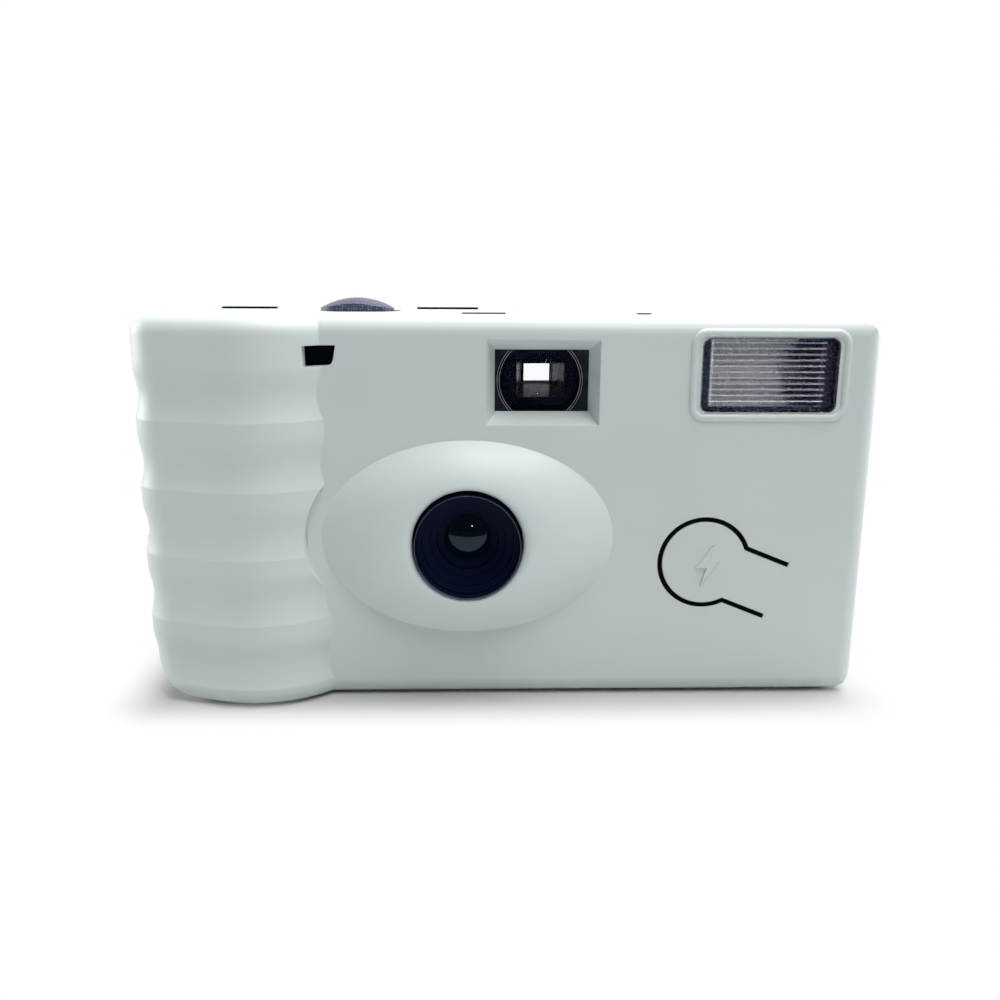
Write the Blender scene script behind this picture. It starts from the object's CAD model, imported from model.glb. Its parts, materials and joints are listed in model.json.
import json
import math
import bpy
from mathutils import Matrix, Vector


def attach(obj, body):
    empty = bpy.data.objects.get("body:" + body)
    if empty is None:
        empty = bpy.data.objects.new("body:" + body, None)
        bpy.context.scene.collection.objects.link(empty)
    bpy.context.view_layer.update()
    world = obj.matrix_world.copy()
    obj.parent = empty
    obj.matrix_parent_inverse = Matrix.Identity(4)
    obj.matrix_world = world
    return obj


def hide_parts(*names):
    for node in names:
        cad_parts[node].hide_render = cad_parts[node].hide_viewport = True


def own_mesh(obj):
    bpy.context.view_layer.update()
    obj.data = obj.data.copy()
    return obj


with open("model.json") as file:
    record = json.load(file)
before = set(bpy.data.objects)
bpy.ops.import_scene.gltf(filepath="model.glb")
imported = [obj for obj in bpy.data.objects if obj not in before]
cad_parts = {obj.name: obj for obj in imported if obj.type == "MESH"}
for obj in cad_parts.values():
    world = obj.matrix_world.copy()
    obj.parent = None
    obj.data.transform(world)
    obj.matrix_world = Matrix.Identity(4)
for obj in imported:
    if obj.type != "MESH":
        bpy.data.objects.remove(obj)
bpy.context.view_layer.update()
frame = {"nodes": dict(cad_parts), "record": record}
cad = frame["nodes"]
scene = bpy.context.scene
mm = 0.001
lensAxis = (-6.1, 27.1)  # x and z of the taking lens, in millimetres
print("frame loaded:", len(cad), "nodes")


# helpers for node materials: each input is a socket to link or a constant to set

noiseDetail = {"clouds": 2.0, "gloss": 3.0, "grain": 2.0, "streaks": 4.0}
noiseMiddle = {"tones": (0.35, 0.65), "values": (0.3, 0.7)}  # where most of a noise lies
bevelSamples = 4


def feed(tree, value, socket):
    if isinstance(value, bpy.types.NodeSocket):
        tree.links.new(value, socket)
    elif socket.type == "RGBA":
        socket.default_value = (*value, 1)
    else:
        socket.default_value = value


def setInputs(tree, node, inputs):
    for key, value in inputs.items():
        feed(tree, value, node.inputs[key])


def addNode(tree, kind, inputs, **settings):
    node = tree.nodes.new(kind)
    for key, setting in settings.items():
        setattr(node, key, setting)
    setInputs(tree, node, inputs)
    return node


def openMaterial(material):
    return material.node_tree, material.node_tree.nodes["Principled BSDF"]


def newMaterial(name):
    material = bpy.data.materials.new(name)
    material.use_nodes = True
    return material, *openMaterial(material)


def objectPoints(tree):
    return tree.nodes.new("ShaderNodeTexCoord").outputs["Object"]


def mappedPoints(tree, offset=(0, 0, 0), scale=(1, 1, 1)):
    inputs = {"Vector": objectPoints(tree), "Location": offset, "Scale": scale}
    return addNode(tree, "ShaderNodeMapping", inputs).outputs["Vector"]


def noiseValue(tree, points, scale, detail):
    inputs = {"Vector": points, "Scale": scale, "Detail": detail}
    return addNode(tree, "ShaderNodeTexNoise", inputs).outputs["Fac"]


def toneMix(tree, factor, toneA, toneB):
    ramp = addNode(tree, "ShaderNodeValToRGB", {"Fac": factor})
    for stop, place, tone in zip(ramp.color_ramp.elements, noiseMiddle["tones"], (toneA, toneB)):
        stop.position = place
        stop.color = (*tone, 1)
    return ramp.outputs["Color"]


def rangeOf(tree, factor, low, high):
    fromLow, fromHigh = noiseMiddle["values"]
    inputs = {"Value": factor, "From Min": fromLow, "From Max": fromHigh, "To Min": low, "To Max": high}
    return addNode(tree, "ShaderNodeMapRange", inputs).outputs["Result"]


def stepUp(tree, value, low, high):
    inputs = {"Value": value, "From Min": low, "From Max": high}
    return addNode(tree, "ShaderNodeMapRange", inputs, interpolation_type="SMOOTHSTEP").outputs["Result"]


def bumpNormal(tree, height, strength, distance, softEdge=0.0):
    bump = addNode(tree, "ShaderNodeBump", {"Height": height, "Strength": strength, "Distance": distance})
    if softEdge:
        edge = addNode(tree, "ShaderNodeBevel", {"Radius": softEdge}, samples=bevelSamples)
        tree.links.new(edge.outputs["Normal"], bump.inputs["Normal"])
    return bump.outputs["Normal"]


# lays a tone over the base colour where the factor is 1: sockets 6, 7 and 2 are the mix node's colours
def paintOver(tree, shader, factor, tone):
    base = shader.inputs["Base Color"].links[0].from_socket
    mix = addNode(tree, "ShaderNodeMix", {0: factor, 6: base, 7: tone}, data_type="RGBA")
    tree.links.new(mix.outputs[2], shader.inputs["Base Color"])


# moulded plastics: two close tones in slow clouds, a fine spark-eroded grain and uneven gloss

plainPlastic = {"ior": 1.5, "specular": 0.5, "softEdge": 0.0}


def mouldedPlastic(name, ownLook):
    look = {**plainPlastic, **ownLook}
    material, tree, shader = newMaterial(name)
    points = objectPoints(tree)
    clouds = noiseValue(tree, points, look["cloudScale"], noiseDetail["clouds"])
    gloss = noiseValue(tree, points, look["glossScale"], noiseDetail["gloss"])
    grain = noiseValue(tree, points, look["grainScale"], noiseDetail["grain"])
    setInputs(tree, shader, {
        "Base Color": toneMix(tree, clouds, look["tone"], look["toneB"]),
        "Roughness": rangeOf(tree, gloss, *look["rough"]),
        "IOR": look["ior"],
        "Specular IOR Level": look["specular"],
        "Normal": bumpNormal(tree, grain, look["grainStrength"], look["grainDepth"], look["softEdge"])})
    return material


whiteLook = {"tone": (0.713, 0.788, 0.788), "toneB": (0.733, 0.808, 0.808), "cloudScale": 45.0,
             "glossScale": 380.0, "rough": (0.36, 0.44), "grainScale": 5200.0, "grainStrength": 0.12,
             "grainDepth": 0.00003, "softEdge": 0.00025}
skinLook = {**whiteLook, "softEdge": 0.0}
domeLook = {**skinLook, "tone": (0.745, 0.832, 0.832), "toneB": (0.765, 0.852, 0.852)}
blackLook = {"tone": (0.0022, 0.0030, 0.009), "toneB": (0.0034, 0.0045, 0.012), "cloudScale": 120.0,
             "glossScale": 500.0, "rough": (0.38, 0.5), "grainScale": 4200.0, "grainStrength": 0.2,
             "grainDepth": 0.00004, "specular": 0.1, "ior": 1.25}
insideLook = {"tone": (0.0014, 0.0026, 0.0085), "toneB": (0.0022, 0.0038, 0.011), "cloudScale": 200.0,
              "glossScale": 500.0, "rough": (0.2, 0.3), "grainScale": 4200.0, "grainStrength": 0.05,
              "grainDepth": 0.00002, "specular": 0.05, "ior": 1.12}
sleeveLook = {"tone": (0.012, 0.014, 0.06), "toneB": (0.018, 0.02, 0.075), "cloudScale": 90.0,
              "glossScale": 300.0, "rough": (0.25, 0.35), "grainScale": 2500.0, "grainStrength": 0.1,
              "grainDepth": 0.00003}
boardLook = {"tone": (0.012, 0.085, 0.04), "toneB": (0.02, 0.11, 0.05), "cloudScale": 220.0,
             "glossScale": 700.0, "rough": (0.3, 0.42), "grainScale": 6000.0, "grainStrength": 0.2,
             "grainDepth": 0.00003}
filmLook = {"tone": (0.05, 0.022, 0.012), "toneB": (0.07, 0.03, 0.016), "cloudScale": 60.0,
            "glossScale": 200.0, "rough": (0.2, 0.3), "grainScale": 3000.0, "grainStrength": 0.05,
            "grainDepth": 0.00002}

whitePlastic = mouldedPlastic("satin_white", whiteLook)
domeWhite = mouldedPlastic("dome_white", domeLook)
skinWhite = mouldedPlastic("skin_white", skinLook)
blackPlastic = mouldedPlastic("frame_black", blackLook)
finderBlack = mouldedPlastic("finder_inside", insideLook)
sleevePlastic = mouldedPlastic("capacitor_sleeve", sleeveLook)
boardGreen = mouldedPlastic("board_green", boardLook)
filmBrown = mouldedPlastic("film_brown", filmLook)


# the shutter button: slate plastic with a fine field of paler dots

greyLook = {"tone": (0.052, 0.058, 0.104), "toneB": (0.063, 0.071, 0.120), "cloudScale": 160.0,
            "glossScale": 600.0, "rough": (0.32, 0.42), "grainScale": 4600.0, "grainStrength": 0.15,
            "grainDepth": 0.00003, "dotScale": 2100.0, "dotSpread": 0.35, "dotEdge": (0.34, 0.2),
            "dotTone": (0.225, 0.255, 0.375)}


def stippledPlastic(name, look):
    material = mouldedPlastic(name, look)
    tree, shader = openMaterial(material)
    inputs = {"Vector": objectPoints(tree), "Scale": look["dotScale"], "Randomness": look["dotSpread"]}
    dots = addNode(tree, "ShaderNodeTexVoronoi", inputs)
    crown = stepUp(tree, dots.outputs["Distance"], *look["dotEdge"])
    paintOver(tree, shader, crown, look["dotTone"])
    return material


greyPlastic = stippledPlastic("button_slate", greyLook)


# the lens barrel: navy black with fine turned rings round the lens axis

barrelLook = {"tone": (0.0022, 0.0044, 0.018), "toneB": (0.003, 0.0058, 0.0225), "cloudScale": 200.0,
              "glossScale": 500.0, "rough": (0.3, 0.42), "grainScale": 4200.0, "grainStrength": 0.1,
              "grainDepth": 0.00003, "specular": 0.04, "ringScale": 700.0,
              "ringTone": (0.0045, 0.0088, 0.034)}


def ringedPlastic(name, look):
    material = mouldedPlastic(name, look)
    tree, shader = openMaterial(material)
    points = mappedPoints(tree, offset=(-lensAxis[0] * mm, 0, -lensAxis[1] * mm))
    inputs = {"Vector": points, "Scale": look["ringScale"], "Distortion": 0.0}
    rings = addNode(tree, "ShaderNodeTexWave", inputs, wave_type="RINGS", rings_direction="Y")
    paintOver(tree, shader, rings.outputs["Fac"], look["ringTone"])
    return material


barrelBlack = ringedPlastic("barrel_navy", barrelLook)


# clear mouldings and lens glass: glare tones down what the surface mirrors

finderLook = {"tint": (0.97, 0.98, 1.0), "ior": 1.49, "hazeScale": 700.0, "rough": (0.0, 0.02),
              "glare": (0.06, 0.08, 0.14)}
flashLook = {"tint": (0.90, 0.90, 0.94), "ior": 1.35, "hazeScale": 900.0, "rough": (0.2, 0.3),
             "glare": (0.3, 0.34, 0.46)}
lensLook = {"tint": (0.05, 0.07, 0.11), "ior": 1.52, "hazeScale": 300.0, "rough": (0.0, 0.01),
            "glare": (0.48, 0.66, 0.88)}
smokedLook = {"tint": (0.05, 0.053, 0.07), "ior": 1.49, "hazeScale": 700.0, "rough": (0.02, 0.05),
              "glare": (0.4, 0.4, 0.45)}
lampLook = {"tint": (0.93, 0.91, 0.92), "ior": 1.47, "hazeScale": 500.0, "rough": (0.02, 0.05),
            "glare": (1.0, 1.0, 1.0)}


def clearPlastic(name, look):
    material, tree, shader = newMaterial(name)
    haze = noiseValue(tree, objectPoints(tree), look["hazeScale"], noiseDetail["clouds"])
    setInputs(tree, shader, {
        "Base Color": look["tint"],
        "Transmission Weight": 1.0,
        "IOR": look["ior"],
        "Specular Tint": look["glare"],
        "Roughness": rangeOf(tree, haze, *look["rough"])})
    return material


finderClear = clearPlastic("finder_clear", finderLook)
flashClear = clearPlastic("flash_clear", flashLook)
lensClear = clearPlastic("lens_clear", lensLook)
lampClear = clearPlastic("lamp_clear", lampLook)
smokedClear = clearPlastic("smoked_window", smokedLook)


# metals: tone and streaks along the rolling direction

steelLook = {"tone": (0.50, 0.51, 0.53), "toneB": (0.60, 0.61, 0.63), "streak": (1, 6, 6),
             "streakScale": 500.0, "rough": (0.25, 0.4), "bump": 0.1}
tinLook = {"tone": (0.10, 0.105, 0.12), "toneB": (0.13, 0.135, 0.15), "streak": (6, 6, 1),
           "streakScale": 200.0, "rough": (0.3, 0.4), "bump": 0.05}
copperLook = {"tone": (0.42, 0.20, 0.09), "toneB": (0.52, 0.27, 0.12), "streak": (1, 1, 14),
              "streakScale": 400.0, "rough": (0.3, 0.4), "bump": 0.4}
streakDepth = 0.00002


def rolledMetal(name, look):
    material, tree, shader = newMaterial(name)
    points = mappedPoints(tree, scale=look["streak"])
    streaks = noiseValue(tree, points, look["streakScale"], noiseDetail["streaks"])
    setInputs(tree, shader, {
        "Base Color": toneMix(tree, streaks, look["tone"], look["toneB"]),
        "Roughness": rangeOf(tree, streaks, *look["rough"]),
        "Metallic": look.get("metal", 1.0),
        "Normal": bumpNormal(tree, streaks, look["bump"], streakDepth)})
    return material


springSteel = rolledMetal("spring_steel", steelLook)
cassetteTin = rolledMetal("cassette_tin", tinLook)
copperWire = rolledMetal("copper_wire", copperLook)
cellCase = rolledMetal("cell_case", tinLook)


# the flash reflector: plated, with the dark blue inside of the housing mirrored in its far end

mirrorLook = {"tone": (0.52, 0.525, 0.54), "toneB": (0.66, 0.665, 0.68), "streak": (1, 3, 3),
              "streakScale": 200.0, "rough": (0.3, 0.4), "bump": 0.05, "metal": 0.3,
              "edgeStretch": (0.15, 1, 5), "edgeScale": 300.0, "edgeWander": 0.005,
              "darkFrom": 0.0472, "darkBlend": 0.0014, "darkTone": (0.018, 0.024, 0.11)}


def platedReflector(name, look):
    material = rolledMetal(name, look)
    tree, shader = openMaterial(material)
    points = mappedPoints(tree, scale=look["edgeStretch"])
    streaks = noiseValue(tree, points, look["edgeScale"], noiseDetail["gloss"])
    parts = addNode(tree, "ShaderNodeSeparateXYZ", {0: objectPoints(tree)})
    wander = addNode(tree, "ShaderNodeMath", {0: streaks, 1: look["edgeWander"], 2: parts.outputs["X"]},
                     operation="MULTIPLY_ADD")
    dark = stepUp(tree, wander.outputs[0], look["darkFrom"], look["darkFrom"] + look["darkBlend"])
    paintOver(tree, shader, dark, look["darkTone"])
    return material


platedMirror = platedReflector("plated_mirror", mirrorLook)

finishes = {
    "white_plastic": whitePlastic, "black_plastic": blackPlastic, "grey_plastic": greyPlastic,
    "clear_plastic": finderClear, "tube_glass": lampClear, "spring_steel": springSteel,
    "reflector": platedMirror, "cassette_tin": cassetteTin, "film": filmBrown, "board": boardGreen,
    "parts_brown": copperWire, "sleeve": sleevePlastic, "cell_case": cellCase, "blade_black": blackPlastic}
ownFinish = {"taking_lens": lensClear, "flash_lens": flashClear, "lens_barrel": barrelBlack,
             "viewfinder_tube": finderBlack, "counter_window": smokedClear, "lamp_window": smokedClear}

for row in frame["record"]["subparts"]:
    node = cad[row["node"]]
    node.data.materials.clear()
    node.data.materials.append(ownFinish.get(row["node"], finishes[row["material_slot"]]))
print("finishes set on", len(cad), "nodes")


# modelling helpers: places are in millimetres from the middle of the base, y = 0 is the flat front face

frontFace = -13.6
upright = (math.pi / 2, 0, 0)
meshFinish = {"merge": 0.000001, "sharp": math.radians(40)}


def spot(x, y, z):
    return Vector((x * mm, (y + frontFace) * mm, z * mm))


def activate(piece):
    bpy.ops.object.select_all(action="DESELECT")
    piece.select_set(True)
    bpy.context.view_layer.objects.active = piece


def startEdit(parts="EDGE"):
    bpy.ops.object.mode_set(mode="EDIT")
    bpy.ops.mesh.select_mode(type=parts)
    bpy.ops.mesh.select_all(action="SELECT")


def endEdit():
    bpy.ops.mesh.select_all(action="SELECT")
    bpy.ops.mesh.remove_doubles(threshold=meshFinish["merge"])
    bpy.ops.mesh.normals_make_consistent(inside=False)
    bpy.ops.object.mode_set(mode="OBJECT")
    bpy.ops.object.shade_smooth_by_angle(angle=meshFinish["sharp"])


# names the new upright primitive and leaves it in edit mode
def openUpright(name, parts="EDGE"):
    piece = bpy.context.object
    piece.name = name
    bpy.ops.object.transform_apply(rotation=True)
    startEdit(parts)
    return piece


def uprightCircle(name, radius, around):
    bpy.ops.object.select_all(action="DESELECT")
    bpy.ops.mesh.primitive_circle_add(vertices=around, radius=radius * mm, rotation=upright)
    return openUpright(name)


# a sheet that faces the front, with its sides in metres
def uprightSheet(name, wide, high, parts="EDGE"):
    bpy.ops.object.select_all(action="DESELECT")
    bpy.ops.mesh.primitive_plane_add(size=1, rotation=upright)
    sheet = openUpright(name, parts)
    bpy.ops.transform.resize(value=(wide, 1, high))
    return sheet


def thicken(depth):
    bpy.ops.mesh.extrude_region_move(TRANSFORM_OT_translate={"value": (0, depth * mm, 0)})


# a ring drawn out row by row from a circle: each row is half width, half height and depth
def turnedRing(name, rows, centre, around):
    wide, high, depth = rows[0]
    ring = uprightCircle(name, wide, around)
    bpy.ops.transform.resize(value=(1, 1, high / wide))
    bpy.ops.transform.translate(value=spot(centre[0], depth, centre[1]))
    for nextWide, nextHigh, nextDepth in rows[1:]:
        bpy.ops.mesh.extrude_edges_move(TRANSFORM_OT_translate={"value": (0, (nextDepth - depth) * mm, 0)})
        bpy.ops.transform.resize(value=(nextWide / wide, 1, nextHigh / high),
                                 center_override=spot(centre[0], nextDepth, centre[1]))
        wide, high, depth = nextWide, nextHigh, nextDepth
    bpy.ops.mesh.select_all(action="DESELECT")
    bpy.ops.mesh.select_non_manifold()
    bpy.ops.mesh.bridge_edge_loops()
    endEdit()
    return ring


def roundRows(points):
    return [(radius, radius, depth) for radius, depth in points]


def joinAll(name, pieces):
    activate(pieces[0])
    for piece in pieces:
        piece.select_set(True)
    bpy.ops.object.join()
    pieces[0].name = name
    return pieces[0]


def fitPiece(piece, body, material):
    piece.data.materials.clear()
    piece.data.materials.append(material)
    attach(piece, body)


# oval surround: a smooth dome of ellipses with a rolled lip round the lens hole

surround = {"hole": 8.7, "halfWide": 23.3, "halfHigh": 15.85, "proud": 4.8, "crown": 1.8, "steps": 22,
            "lip": 0.9, "lipEnd": 0.1, "lipSteps": 6, "wall": 1.4, "wallSlope": 0.6, "inside": 10.2,
            "seat": 1.0, "around": 144}


def ovalSurround(look):
    hole, inside = look["hole"], look["inside"]

    def domeRow(share):
        return (hole + (look["halfWide"] - hole) * share, hole + (look["halfHigh"] - hole) * share,
                -look["proud"] * (1 - share ** look["crown"]))

    lipWide, lipHigh, lipFront = domeRow(look["lipEnd"])
    rows = [(hole, hole, look["seat"])]
    for k in range(look["lipSteps"] + 1):
        turn = math.pi / 2 * k / look["lipSteps"]
        roll = 1 - math.cos(turn)
        rows.append((hole + (lipWide - hole) * roll, hole + (lipHigh - hole) * roll,
                     lipFront + look["lip"] * (1 - math.sin(turn))))
    for k in range(1, look["steps"] + 1):
        rows.append(domeRow(look["lipEnd"] + (1 - look["lipEnd"]) * k / look["steps"]))
    rows += [(look["halfWide"] - look["wall"], look["halfHigh"] - look["wall"], 0.0),
             (inside, inside, -look["proud"] + look["wall"] + look["wallSlope"]),
             (inside, inside, look["seat"])]
    return turnedRing("oval_surround", rows, lensAxis, look["around"])


surroundPiece = ovalSurround(surround)
fitPiece(surroundPiece, "camera", domeWhite)
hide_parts("lens_surround")


# lens hood with a fine paler edge, and the stop behind the glass: radius and depth of each corner

hood = {"drop": 0.25, "around": 128,  # the hood sits a little under the lens axis
        "wall": [(8.4, -3.4), (8.4, -4.7), (8.36, -4.8), (8.28, -4.84), (8.2, -4.8), (8.16, -4.7),
                 (8.1, -3.4)],
        "edge": [(8.33, -4.81), (8.32, -4.85), (8.28, -4.865), (8.24, -4.85), (8.23, -4.81)],
        "stop": [(1.85, 2.84), (1.85, 2.76), (2.0, 2.73), (4.2, 2.73), (4.2, 2.84)]}
trimGrain = {"glossScale": 500.0, "grainScale": 4000.0, "grainStrength": 0.05, "grainDepth": 0.00002}
edgeLook = {**trimGrain, "tone": (0.075, 0.085, 0.125), "toneB": (0.10, 0.112, 0.155), "cloudScale": 300.0,
            "rough": (0.25, 0.35)}
stopLook = {**trimGrain, "tone": (0.006, 0.007, 0.014), "toneB": (0.008, 0.009, 0.017), "cloudScale": 300.0,
            "rough": (0.4, 0.5), "specular": 0.1}

hoodAxis = (lensAxis[0], lensAxis[1] - hood["drop"])
hoodPiece = turnedRing("lens_hood", roundRows(hood["wall"]), hoodAxis, hood["around"])
fitPiece(hoodPiece, "camera", barrelBlack)
edgePiece = turnedRing("lens_hood_edge", roundRows(hood["edge"]), hoodAxis, hood["around"])
fitPiece(edgePiece, "camera", mouldedPlastic("hood_edge", edgeLook))
stopPiece = turnedRing("lens_stop", roundRows(hood["stop"]), lensAxis, hood["around"])
fitPiece(stopPiece, "camera", mouldedPlastic("stop_navy", stopLook))
print("lens pieces modelled")


# viewfinder: the round edge of the front lens shows as fine double arcs at its left and right

finderWindow = {"centre": (5.6, 51.9), "half": (7.32, 4.78)}
finderArcs = {"centre": (5.3, 51.9), "radii": (6.42, 6.76), "thick": 0.04, "sides": 6, "depth": 3.76,
              "plate": [(6.9, 3.9), (6.9, 3.84), (10.0, 3.84), (10.0, 3.9)], "around": 160}
arcLook = {**trimGrain, "tone": (0.42, 0.44, 0.50), "toneB": (0.50, 0.52, 0.58), "cloudScale": 400.0,
           "rough": (0.2, 0.3)}
flangeLook = {**trimGrain, "tone": (0.009, 0.011, 0.020), "toneB": (0.020, 0.023, 0.036), "cloudScale": 500.0,
              "rough": (0.2, 0.3), "specular": 0.2}


def cutAway(piece, point, outward):
    activate(piece)
    startEdit()
    bpy.ops.mesh.bisect(plane_co=point, plane_no=outward, use_fill=True, clear_outer=True)
    endEdit()


def trimToWindow(ring, window):
    x, z = window["centre"]
    halfWide, halfHigh = window["half"]
    for side in (-1, 1):
        cutAway(ring, spot(x + side * halfWide, 0, 0), (side, 0, 0))
        cutAway(ring, spot(0, 0, z + side * halfHigh), (0, 0, side))


def arcRing(radius, index, look):
    turns = [2 * math.pi * k / look["sides"] for k in range(look["sides"])]
    section = [(radius + look["thick"] * math.cos(turn), look["depth"] + look["thick"] * math.sin(turn))
               for turn in turns]
    ring = turnedRing("finder_arc_%d" % index, roundRows(section), look["centre"], look["around"])
    trimToWindow(ring, finderWindow)
    return ring


arcs = [arcRing(radius, k, finderArcs) for k, radius in enumerate(finderArcs["radii"])]
arcPiece = joinAll("finder_arcs", arcs)
fitPiece(arcPiece, "camera", mouldedPlastic("arc_clear", arcLook))
flangePiece = turnedRing("finder_flange", roundRows(finderArcs["plate"]), finderArcs["centre"],
                         finderArcs["around"])
trimToWindow(flangePiece, finderWindow)
fitPiece(flangePiece, "camera", mouldedPlastic("flange_dark", flangeLook))


# masks: the dark housing round the flash reflector, and the rim of the viewfinder's far opening

flashMask = {"name": "flash_mask", "centre": (40.8, 53.15), "wide": 21.3, "high": 11.5, "cellWide": 17.9,
             "cellHigh": 10.3, "front": 2.54, "thick": 0.12, "shift": (0, 0.3)}
finderMask = {"name": "finder_mask", "centre": finderWindow["centre"], "wide": 8.0, "high": 6.2,
              "cellWide": 7.0, "cellHigh": 4.9, "front": 27.05, "thick": 0.2, "shift": (0.2, -0.45)}
maskLook = {**trimGrain, "tone": (0.005, 0.006, 0.024), "toneB": (0.010, 0.012, 0.038), "cloudScale": 420.0,
            "rough": (0.3, 0.4), "grainStrength": 0.1, "specular": 0.2}


def maskFrame(look):
    middle = spot(look["centre"][0], look["front"], look["centre"][1])
    border = (look["high"] - look["cellHigh"]) / 2
    mask = uprightSheet(look["name"], look["wide"] * mm, look["high"] * mm, "FACE")
    bpy.ops.transform.translate(value=middle)
    bpy.ops.mesh.inset(thickness=border * mm)
    narrow = look["cellWide"] / (look["wide"] - 2 * border)
    bpy.ops.transform.resize(value=(narrow, 1, 1), center_override=middle)
    bpy.ops.transform.translate(value=(look["shift"][0] * mm, 0, look["shift"][1] * mm))
    bpy.ops.mesh.delete(type="FACE")
    bpy.ops.mesh.select_all(action="SELECT")
    thicken(look["thick"])
    endEdit()
    return mask


fitPiece(maskFrame(flashMask), "camera", mouldedPlastic("housing_navy", maskLook))
fitPiece(maskFrame(finderMask), "camera", finderBlack)
print("finder and flash pieces modelled")


# flash button: the slot round it is black all the way down

keySlot = {"centre": (32.15, 22.9), "tilt": 22.0, "round": 7.24, "stem": 4.76, "reach": 12.98, "wide": 0.7,
           "lap": 0.21, "front": 0.15, "sunk": 0.01, "deep": 1.0, "cuts": 3, "around": 180}
hingeSkin = {"along": 13.0, "length": 0.84, "wide": 8.6, "front": -0.02, "thick": 0.03, "cuts": 2}
slotLook = {**trimGrain, "tone": (0.002, 0.002, 0.003), "toneB": (0.003, 0.003, 0.004), "cloudScale": 300.0,
            "rough": (0.6, 0.7), "grainStrength": 0.1, "specular": 0.03}


def slotArc(look):
    x, z = look["centre"]
    middle = spot(x, look["front"], z)
    inner, outer = look["round"] - look["wide"] / 2, look["round"] + look["wide"] / 2
    arc = uprightCircle("key_slot", inner, look["around"])
    bpy.ops.transform.translate(value=middle)
    bpy.ops.mesh.extrude_edges_move(TRANSFORM_OT_translate={"value": (0, 0, 0)})
    bpy.ops.transform.resize(value=(outer / inner, 1, outer / inner), center_override=middle)
    bpy.ops.mesh.select_mode(type="FACE")
    bpy.ops.object.mode_set(mode="OBJECT")
    mouth = math.asin(look["stem"] / look["round"])
    for face in arc.data.polygons:
        side = math.atan2(face.center.z - z * mm, face.center.x - x * mm) + math.radians(look["tilt"])
        face.select = abs(math.remainder(side, 2 * math.pi)) < mouth
    bpy.ops.object.mode_set(mode="EDIT")
    bpy.ops.mesh.delete(type="FACE")
    bpy.ops.mesh.select_all(action="SELECT")
    thicken(look["deep"])
    endEdit()
    return arc


# a thin plate on the button's tilted axis: along and across are counted from the middle of the button
def tiltedPlate(name, along, across, plate):
    tilt = math.radians(keySlot["tilt"])
    x, z = keySlot["centre"]
    piece = uprightSheet(name, plate["length"] * mm, plate["wide"] * mm)
    bpy.ops.mesh.subdivide(number_cuts=plate["cuts"])
    thicken(plate["thick"])
    endEdit()
    piece.rotation_euler = (0, tilt, 0)
    piece.location = spot(x + along * math.cos(tilt) + across * math.sin(tilt), plate["front"],
                          z - along * math.sin(tilt) + across * math.cos(tilt))
    bpy.ops.object.transform_apply(location=True, rotation=True)
    return piece


def slotStem(look, side):
    start = math.sqrt(look["round"] ** 2 - look["stem"] ** 2) - look["lap"]
    length = look["reach"] - start
    plate = {"length": length, "wide": look["wide"], "thick": look["deep"], "cuts": look["cuts"],
             "front": look["front"] + look["sunk"]}
    return tiltedPlate("key_slot_stem", start + length / 2, side * look["stem"], plate)


slotPiece = joinAll("key_slot", [slotArc(keySlot), slotStem(keySlot, 1), slotStem(keySlot, -1)])
fitPiece(slotPiece, "camera", mouldedPlastic("slot_black", slotLook))
skinPiece = tiltedPlate("tongue_skin", hingeSkin["along"], 0, hingeSkin)  # covers the bend of the tongue
fitPiece(skinPiece, "camera", skinWhite)
print("flash button slot modelled")


# plain numbers round the counter dial

dialNumbers = {"centre": (-3.1, 14.7), "radius": 6.5, "size": 2.3, "height": 59.31, "thick": 0.02,
               "count": 10, "every": 3}


def dialNumber(index, look):
    turn = 2 * math.pi * index / look["count"] - math.pi / 2
    bpy.ops.object.select_all(action="DESELECT")
    bpy.ops.object.text_add()
    text = bpy.context.object.data
    text.body = str(index * look["every"])
    text.size = look["size"] * mm
    text.align_x = "CENTER"
    text.align_y = "CENTER"
    text.extrude = look["thick"] * mm
    bpy.ops.object.convert(target="MESH")
    number = bpy.context.object
    number.rotation_euler = (0, 0, turn - math.pi / 2)
    number.location = spot(look["centre"][0] + look["radius"] * math.cos(turn),
                           look["centre"][1] + look["radius"] * math.sin(turn), look["height"])
    bpy.ops.object.transform_apply(location=True, rotation=True)
    return number


numberPiece = joinAll("dial_numbers", [dialNumber(k, dialNumbers) for k in range(dialNumbers["count"])])
fitPiece(numberPiece, "counter", blackPlastic)
print("dial numbers modelled")


# the button's spring is a merged copy that shortens as the button goes down


def pressedSpring():
    spring = bpy.data.objects.new("return_spring", cad["button_spring"].data.copy())
    scene.collection.objects.link(spring)
    activate(spring)
    startEdit()
    endEdit()
    fitPiece(spring, "camera", springSteel)
    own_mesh(spring)
    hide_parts("button_spring")


pressedSpring()
print("spring fitted")


# the floor and the room are plain white where they are seen, and the floor keeps the shadow near the part

white = (1, 1, 1)
floorLook = {"size": 6.0, "drop": 0.0001, "cuts": 3, "tone": (0.60, 0.60, 0.60), "rough": 0.9,
             "specular": 0.1, "footprint": (0.054, 0.014, 0), "fade": 0.012}
roomLook = {"strength": 0.05, "tone": (0.96, 0.98, 1.0)}


def seenRays(tree):
    path = tree.nodes.new("ShaderNodeLightPath")
    total = path.outputs["Is Camera Ray"]
    for kind in ("Is Glossy Ray", "Is Transmission Ray"):
        larger = addNode(tree, "ShaderNodeMath", {0: total, 1: path.outputs[kind]}, operation="MAXIMUM")
        total = larger.outputs[0]
    return total


# the second shader takes over where the factor is 1
def mixShaders(tree, factor, first, second, output):
    mix = addNode(tree, "ShaderNodeMixShader", {0: factor, 1: first.outputs[0], 2: second.outputs[0]})
    tree.links.new(mix.outputs[0], tree.nodes[output].inputs["Surface"])


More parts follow.
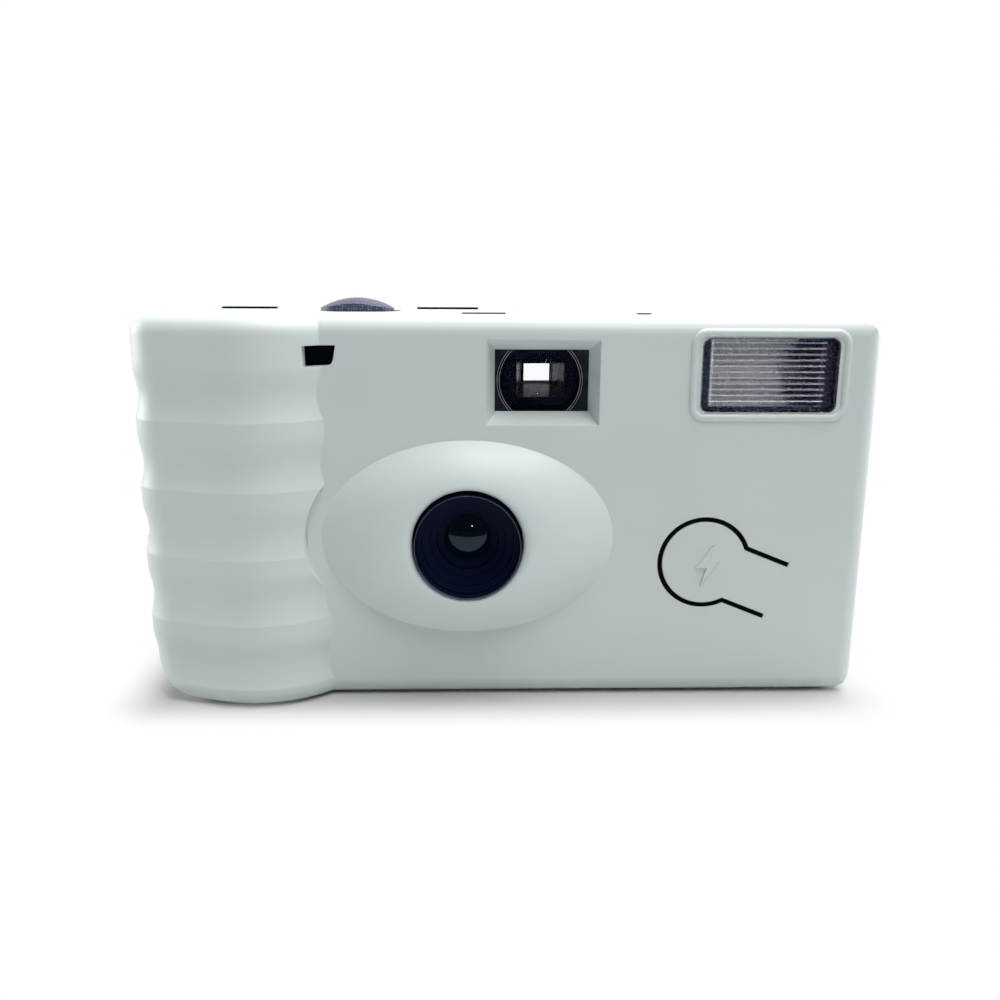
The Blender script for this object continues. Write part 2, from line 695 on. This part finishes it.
def floorMaterial(look):
    material, tree, shader = newMaterial("floor_white")
    setInputs(tree, shader, {"Base Color": look["tone"], "Roughness": look["rough"],
                             "Specular IOR Level": look["specular"]})
    away = objectPoints(tree)
    steps = (("ABSOLUTE", {}), ("SUBTRACT", {1: look["footprint"]}), ("MAXIMUM", {1: (0, 0, 0)}))
    for operation, inputs in steps:
        step = addNode(tree, "ShaderNodeVectorMath", {0: away, **inputs}, operation=operation)
        away = step.outputs["Vector"]
    distance = addNode(tree, "ShaderNodeVectorMath", {0: away}, operation="LENGTH").outputs["Value"]
    fade = stepUp(tree, distance, 0.0, look["fade"])
    seen = addNode(tree, "ShaderNodeMath", {0: fade, 1: seenRays(tree)}, operation="MULTIPLY")
    glow = addNode(tree, "ShaderNodeEmission", {"Color": white, "Strength": 1.0})
    mixShaders(tree, seen.outputs[0], shader, glow, "Material Output")
    return material


def addFloor(look):
    bpy.ops.object.select_all(action="DESELECT")
    bpy.ops.mesh.primitive_plane_add(size=look["size"], location=(0, 0, -look["drop"]))
    floor = bpy.context.object
    floor.name = "floor"
    startEdit()
    bpy.ops.mesh.subdivide(number_cuts=look["cuts"])
    bpy.ops.object.mode_set(mode="OBJECT")
    floor.data.materials.append(floorMaterial(look))


def studioWorld(look):
    world = bpy.data.worlds.new("studio")
    scene.world = world
    world.use_nodes = True
    tree = world.node_tree
    room = tree.nodes["Background"]
    setInputs(tree, room, {"Color": look["tone"], "Strength": look["strength"]})
    seen = addNode(tree, "ShaderNodeBackground", {"Color": white, "Strength": 1.0})
    mixShaders(tree, seenRays(tree), room, seen, "World Output")


addFloor(floorLook)
studioWorld(roomLook)


# softboxes, with a small lamp for the glint in the lens

softboxes = {
    "overhead": {"place": (0.2, -0.02, 0.7), "aim": (0.1, -0.02, 0), "size": (1.0, 0.56), "power": 8.9},
    "sideLeft": {"place": (-0.6, 0.14, 0.14), "aim": (-0.05, 0.0, 0.03), "size": (0.4, 0.4), "power": 2.7},
    "sideRight": {"place": (0.6, 0.2, 0.12), "aim": (0.05, 0.0, 0.03), "size": (0.4, 0.4), "power": 1.8},
    "glint": {"place": (0.0376, -0.3067, 0.0733), "aim": (0, 0, 0.03), "size": (0.012, 0.012), "power": 0.02},
}


def addSoftbox(name, box):
    lamp = bpy.data.lights.new(name, "AREA")
    lamp.shape = "RECTANGLE"
    lamp.size, lamp.size_y = box["size"]
    lamp.energy = box["power"]
    stand = bpy.data.objects.new(name, lamp)
    scene.collection.objects.link(stand)
    ahead = Vector(box["aim"]) - Vector(box["place"])
    stand.location = box["place"]
    stand.rotation_euler = ahead.to_track_quat("-Z", "Y").to_euler()


for name, box in softboxes.items():
    addSoftbox(name, box)


# a dark card behind the camera with a foot along the floor, seen only in reflections

darkCard = {"wide": 1.6, "high": 0.9, "place": (0, -0.36, 0.453), "foot": 0.255, "tone": (0.012, 0.013, 0.02),
            "rough": 0.9}


def addCard(look):
    card = uprightSheet("dark_card", look["wide"], look["high"])
    bpy.ops.transform.translate(value=look["place"])
    bpy.ops.object.mode_set(mode="OBJECT")
    for edge in card.data.edges:
        edge.select = all(card.data.vertices[k].co.z < look["place"][2] for k in edge.vertices)
    bpy.ops.object.mode_set(mode="EDIT")
    bpy.ops.mesh.extrude_edges_move(TRANSFORM_OT_translate={"value": (0, look["foot"], 0)})
    endEdit()
    material, tree, shader = newMaterial("card_black")
    setInputs(tree, shader, {"Base Color": look["tone"], "Roughness": look["rough"]})
    card.data.materials.append(material)
    card.visible_camera = False
    card.visible_diffuse = False
    card.visible_transmission = False
    card.visible_shadow = False


addCard(darkCard)


# the camera, fitted to the photograph

cameraFit = {"eye": (-4.78 * mm, -159.62 * mm, 68.64 * mm), "pitch": 13.57, "yaw": 1.49, "roll": 0.289,
             "focalPixels": 946.9, "imagePixels": 1000, "sensor": 36.0, "clipStart": 0.005}


def aimCamera(fit):
    pitch, yaw, roll = (math.radians(fit[key]) for key in ("pitch", "yaw", "roll"))
    ahead = Vector((math.sin(yaw) * math.cos(pitch), math.cos(yaw) * math.cos(pitch), -math.sin(pitch)))
    level = Vector((math.cos(yaw), -math.sin(yaw), 0))
    upward = level.cross(ahead)
    right = math.cos(roll) * level + math.sin(roll) * upward
    up = math.cos(roll) * upward - math.sin(roll) * level
    lens = bpy.data.cameras.new("photo_view")
    lens.sensor_width = fit["sensor"]
    lens.lens = fit["sensor"] * fit["focalPixels"] / fit["imagePixels"]
    lens.clip_start = fit["clipStart"]
    eye = bpy.data.objects.new("photo_view", lens)
    scene.collection.objects.link(eye)
    eye.matrix_world = Matrix.Translation(fit["eye"]) @ Matrix((right, up, -ahead)).transposed().to_4x4()
    scene.camera = eye


aimCamera(cameraFit)
scene.view_settings.view_transform = "Standard"
print("camera, floor and light set")
